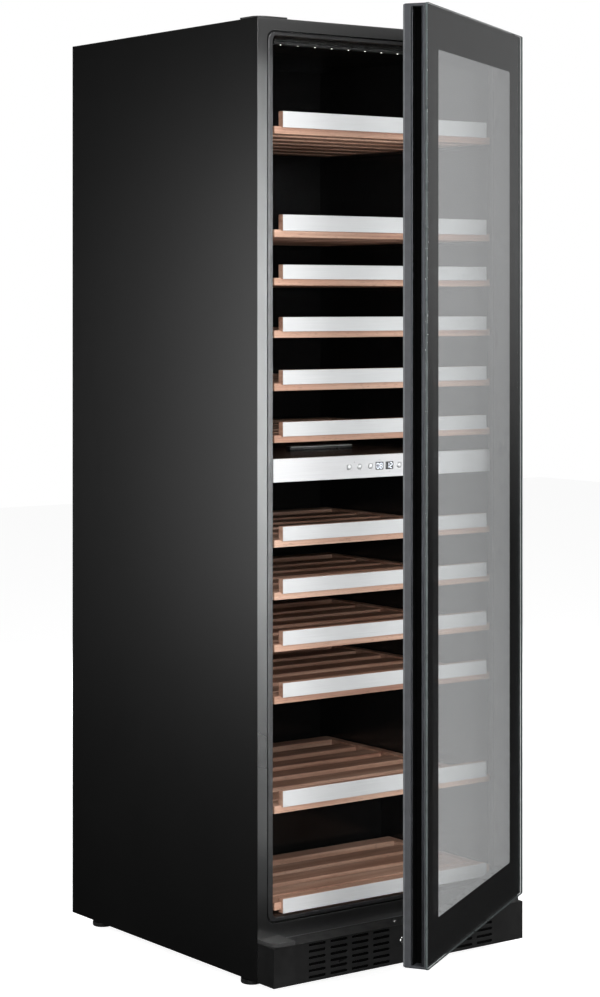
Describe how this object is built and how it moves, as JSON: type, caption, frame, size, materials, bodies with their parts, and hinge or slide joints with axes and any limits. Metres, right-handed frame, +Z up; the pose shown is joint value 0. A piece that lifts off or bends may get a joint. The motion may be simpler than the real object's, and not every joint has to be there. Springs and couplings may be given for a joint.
{
  "type": "wine cooler",
  "caption": "Tall free-standing wine cooler with two zones, a hinged glass door with a grip channel, pull-out wooden shelves and a control panel.",
  "frame": {"origin": "on the floor, in the plane of the foot soles, under the middle of the cabinet body without its door", "axes": "+X towards the hinge side as seen from the front, +Y from the door towards the rear wall, +Z up"},
  "size_m": [0.605, 0.9811, 1.76],
  "materials": {
    "casing_black": "satin",
    "frame_grey": "satin",
    "trim_grey": "satin",
    "liner_black": "gloss",
    "fascia_silver": "satin",
    "key_silver": "satin",
    "strip_silver": "satin",
    "shelf_wood": "satin",
    "kick_black": "satin",
    "hinge_grey": "satin",
    "lock_chrome": "polished",
    "foot_black": "matte",
    "zinc": "satin",
    "compressor_black": "satin",
    "socket_black": "matte",
    "door_glass": "gloss",
    "clear_glass": "gloss",
    "door_frame_grey": "satin",
    "grip_anodised": "satin",
    "gasket_black": "matte"
  },
  "bodies": {
    "cabinet": {"outer_casing": "casing_black", "rear_panel": "casing_black", "base_pan": "zinc", "front_frame": "frame_grey", "opening_trim": "trim_grey", "liner_left": "liner_black", "liner_right": "liner_black", "liner_rear": "liner_black", "liner_ceiling": "liner_black", "liner_floor": "liner_black", "zone_divider": "liner_black", "control_fascia": "fascia_silver", "kick_plate": "kick_black", "hinge_bracket_lower": "hinge_grey", "hinge_bracket_upper": "hinge_grey", "corner_cap_lower": "hinge_grey", "corner_cap_upper": "hinge_grey", "compressor": "compressor_black", "power_inlet": "socket_black"},
    "door": {"door_glass_outer": "door_glass", "door_frame": "door_frame_grey", "door_grip": "grip_anodised", "door_gasket": "gasket_black", "door_glass_inner": "clear_glass"},
    "shelf_01": {"shelf_01_frame": "shelf_wood", "shelf_01_strip": "strip_silver"},
    "shelf_02": {"shelf_02_frame": "shelf_wood", "shelf_02_strip": "strip_silver"},
    "shelf_03": {"shelf_03_frame": "shelf_wood", "shelf_03_strip": "strip_silver"},
    "shelf_04": {"shelf_04_frame": "shelf_wood", "shelf_04_strip": "strip_silver"},
    "shelf_05": {"shelf_05_frame": "shelf_wood", "shelf_05_strip": "strip_silver"},
    "shelf_06": {"shelf_06_frame": "shelf_wood", "shelf_06_strip": "strip_silver"},
    "shelf_07": {"shelf_07_frame": "shelf_wood", "shelf_07_strip": "strip_silver"},
    "shelf_08": {"shelf_08_frame": "shelf_wood", "shelf_08_strip": "strip_silver"},
    "shelf_09": {"shelf_09_frame": "shelf_wood", "shelf_09_strip": "strip_silver"},
    "shelf_10": {"shelf_10_frame": "shelf_wood", "shelf_10_strip": "strip_silver"},
    "shelf_11": {"shelf_11_frame": "shelf_wood", "shelf_11_strip": "strip_silver"},
    "shelf_12": {"shelf_12_frame": "shelf_wood", "shelf_12_strip": "strip_silver"},
    "key_1": {"key_1": "key_silver"},
    "key_2": {"key_2": "key_silver"},
    "key_3": {"key_3": "key_silver"},
    "key_4": {"key_4": "key_silver"},
    "key_5": {"key_5": "key_silver"},
    "key_6": {"key_6": "key_silver"},
    "lock_plug": {"lock_plug": "lock_chrome"},
    "lock_bolt": {"lock_bolt": "lock_chrome"},
    "foot_front_left": {"foot_front_left": "foot_black"},
    "foot_front_right": {"foot_front_right": "foot_black"},
    "foot_rear_left": {"foot_rear_left": "foot_black"},
    "foot_rear_right": {"foot_rear_right": "foot_black"}
  },
  "joints": [
    {"name": "door_hinge", "type": "hinge", "parent": "cabinet", "child": "door", "pos_m": [0.28315, -0.339, 0.9], "axis": [0, 0, 1], "range_deg": [-31.9, 78.1]},
    {"name": "shelf_01_slide", "type": "slide", "parent": "cabinet", "child": "shelf_01", "axis": [0, -1, 0], "range_m": [0, 0.012]},
    {"name": "shelf_02_slide", "type": "slide", "parent": "cabinet", "child": "shelf_02", "axis": [0, -1, 0], "range_m": [0, 0.012]},
    {"name": "shelf_03_slide", "type": "slide", "parent": "cabinet", "child": "shelf_03", "axis": [0, -1, 0], "range_m": [0, 0.012]},
    {"name": "shelf_04_slide", "type": "slide", "parent": "cabinet", "child": "shelf_04", "axis": [0, -1, 0], "range_m": [0, 0.012]},
    {"name": "shelf_05_slide", "type": "slide", "parent": "cabinet", "child": "shelf_05", "axis": [0, -1, 0], "range_m": [0, 0.012]},
    {"name": "shelf_06_slide", "type": "slide", "parent": "cabinet", "child": "shelf_06", "axis": [0, -1, 0], "range_m": [0, 0.012]},
    {"name": "shelf_07_slide", "type": "slide", "parent": "cabinet", "child": "shelf_07", "axis": [0, -1, 0], "range_m": [0, 0.012]},
    {"name": "shelf_08_slide", "type": "slide", "parent": "cabinet", "child": "shelf_08", "axis": [0, -1, 0], "range_m": [0, 0.012]},
    {"name": "shelf_09_slide", "type": "slide", "parent": "cabinet", "child": "shelf_09", "axis": [0, -1, 0], "range_m": [0, 0.012]},
    {"name": "shelf_10_slide", "type": "slide", "parent": "cabinet", "child": "shelf_10", "axis": [0, -1, 0], "range_m": [0, 0.012]},
    {"name": "shelf_11_slide", "type": "slide", "parent": "cabinet", "child": "shelf_11", "axis": [0, -1, 0], "range_m": [0, 0.012]},
    {"name": "shelf_12_slide", "type": "slide", "parent": "cabinet", "child": "shelf_12", "axis": [0, -1, 0], "range_m": [0, 0.012]},
    {"name": "key_1_press", "type": "slide", "parent": "cabinet", "child": "key_1", "axis": [0, 1, 0], "range_m": [0, 0.0008], "stiffness_N_per_m": 150, "springref_m": -0.001},
    {"name": "key_2_press", "type": "slide", "parent": "cabinet", "child": "key_2", "axis": [0, 1, 0], "range_m": [0, 0.0008], "stiffness_N_per_m": 150, "springref_m": -0.001},
    {"name": "key_3_press", "type": "slide", "parent": "cabinet", "child": "key_3", "axis": [0, 1, 0], "range_m": [0, 0.0008], "stiffness_N_per_m": 150, "springref_m": -0.001},
    {"name": "key_4_press", "type": "slide", "parent": "cabinet", "child": "key_4", "axis": [0, 1, 0], "range_m": [0, 0.0008], "stiffness_N_per_m": 150, "springref_m": -0.001},
    {"name": "key_5_press", "type": "slide", "parent": "cabinet", "child": "key_5", "axis": [0, 1, 0], "range_m": [0, 0.0008], "stiffness_N_per_m": 150, "springref_m": -0.001},
    {"name": "key_6_press", "type": "slide", "parent": "cabinet", "child": "key_6", "axis": [0, 1, 0], "range_m": [0, 0.0008], "stiffness_N_per_m": 150, "springref_m": -0.001},
    {"name": "lock_turn", "type": "hinge", "parent": "cabinet", "child": "lock_plug", "pos_m": [0, -0.3645, 0.062], "axis": [0, -1, 0], "range_deg": [0, 90]},
    {"name": "bolt_lift", "type": "slide", "parent": "cabinet", "child": "lock_bolt", "axis": [0, 0, 1], "range_m": [0, 0.012]},
    {"name": "foot_front_left_turn", "type": "hinge", "parent": "cabinet", "child": "foot_front_left", "pos_m": [-0.258, -0.2425, 0], "axis": [0, 0, 1], "continuous": true},
    {"name": "foot_front_right_turn", "type": "hinge", "parent": "cabinet", "child": "foot_front_right", "pos_m": [0.258, -0.2425, 0], "axis": [0, 0, 1], "continuous": true},
    {"name": "foot_rear_left_turn", "type": "hinge", "parent": "cabinet", "child": "foot_rear_left", "pos_m": [-0.258, 0.2645, 0], "axis": [0, 0, 1], "continuous": true},
    {"name": "foot_rear_right_turn", "type": "hinge", "parent": "cabinet", "child": "foot_rear_right", "pos_m": [0.258, 0.2645, 0], "axis": [0, 0, 1], "continuous": true}
  ],
  "couplings": [
    {"joint": "lock_turn", "follows": "bolt_lift", "rad_per_m": 130.89}
  ]
}
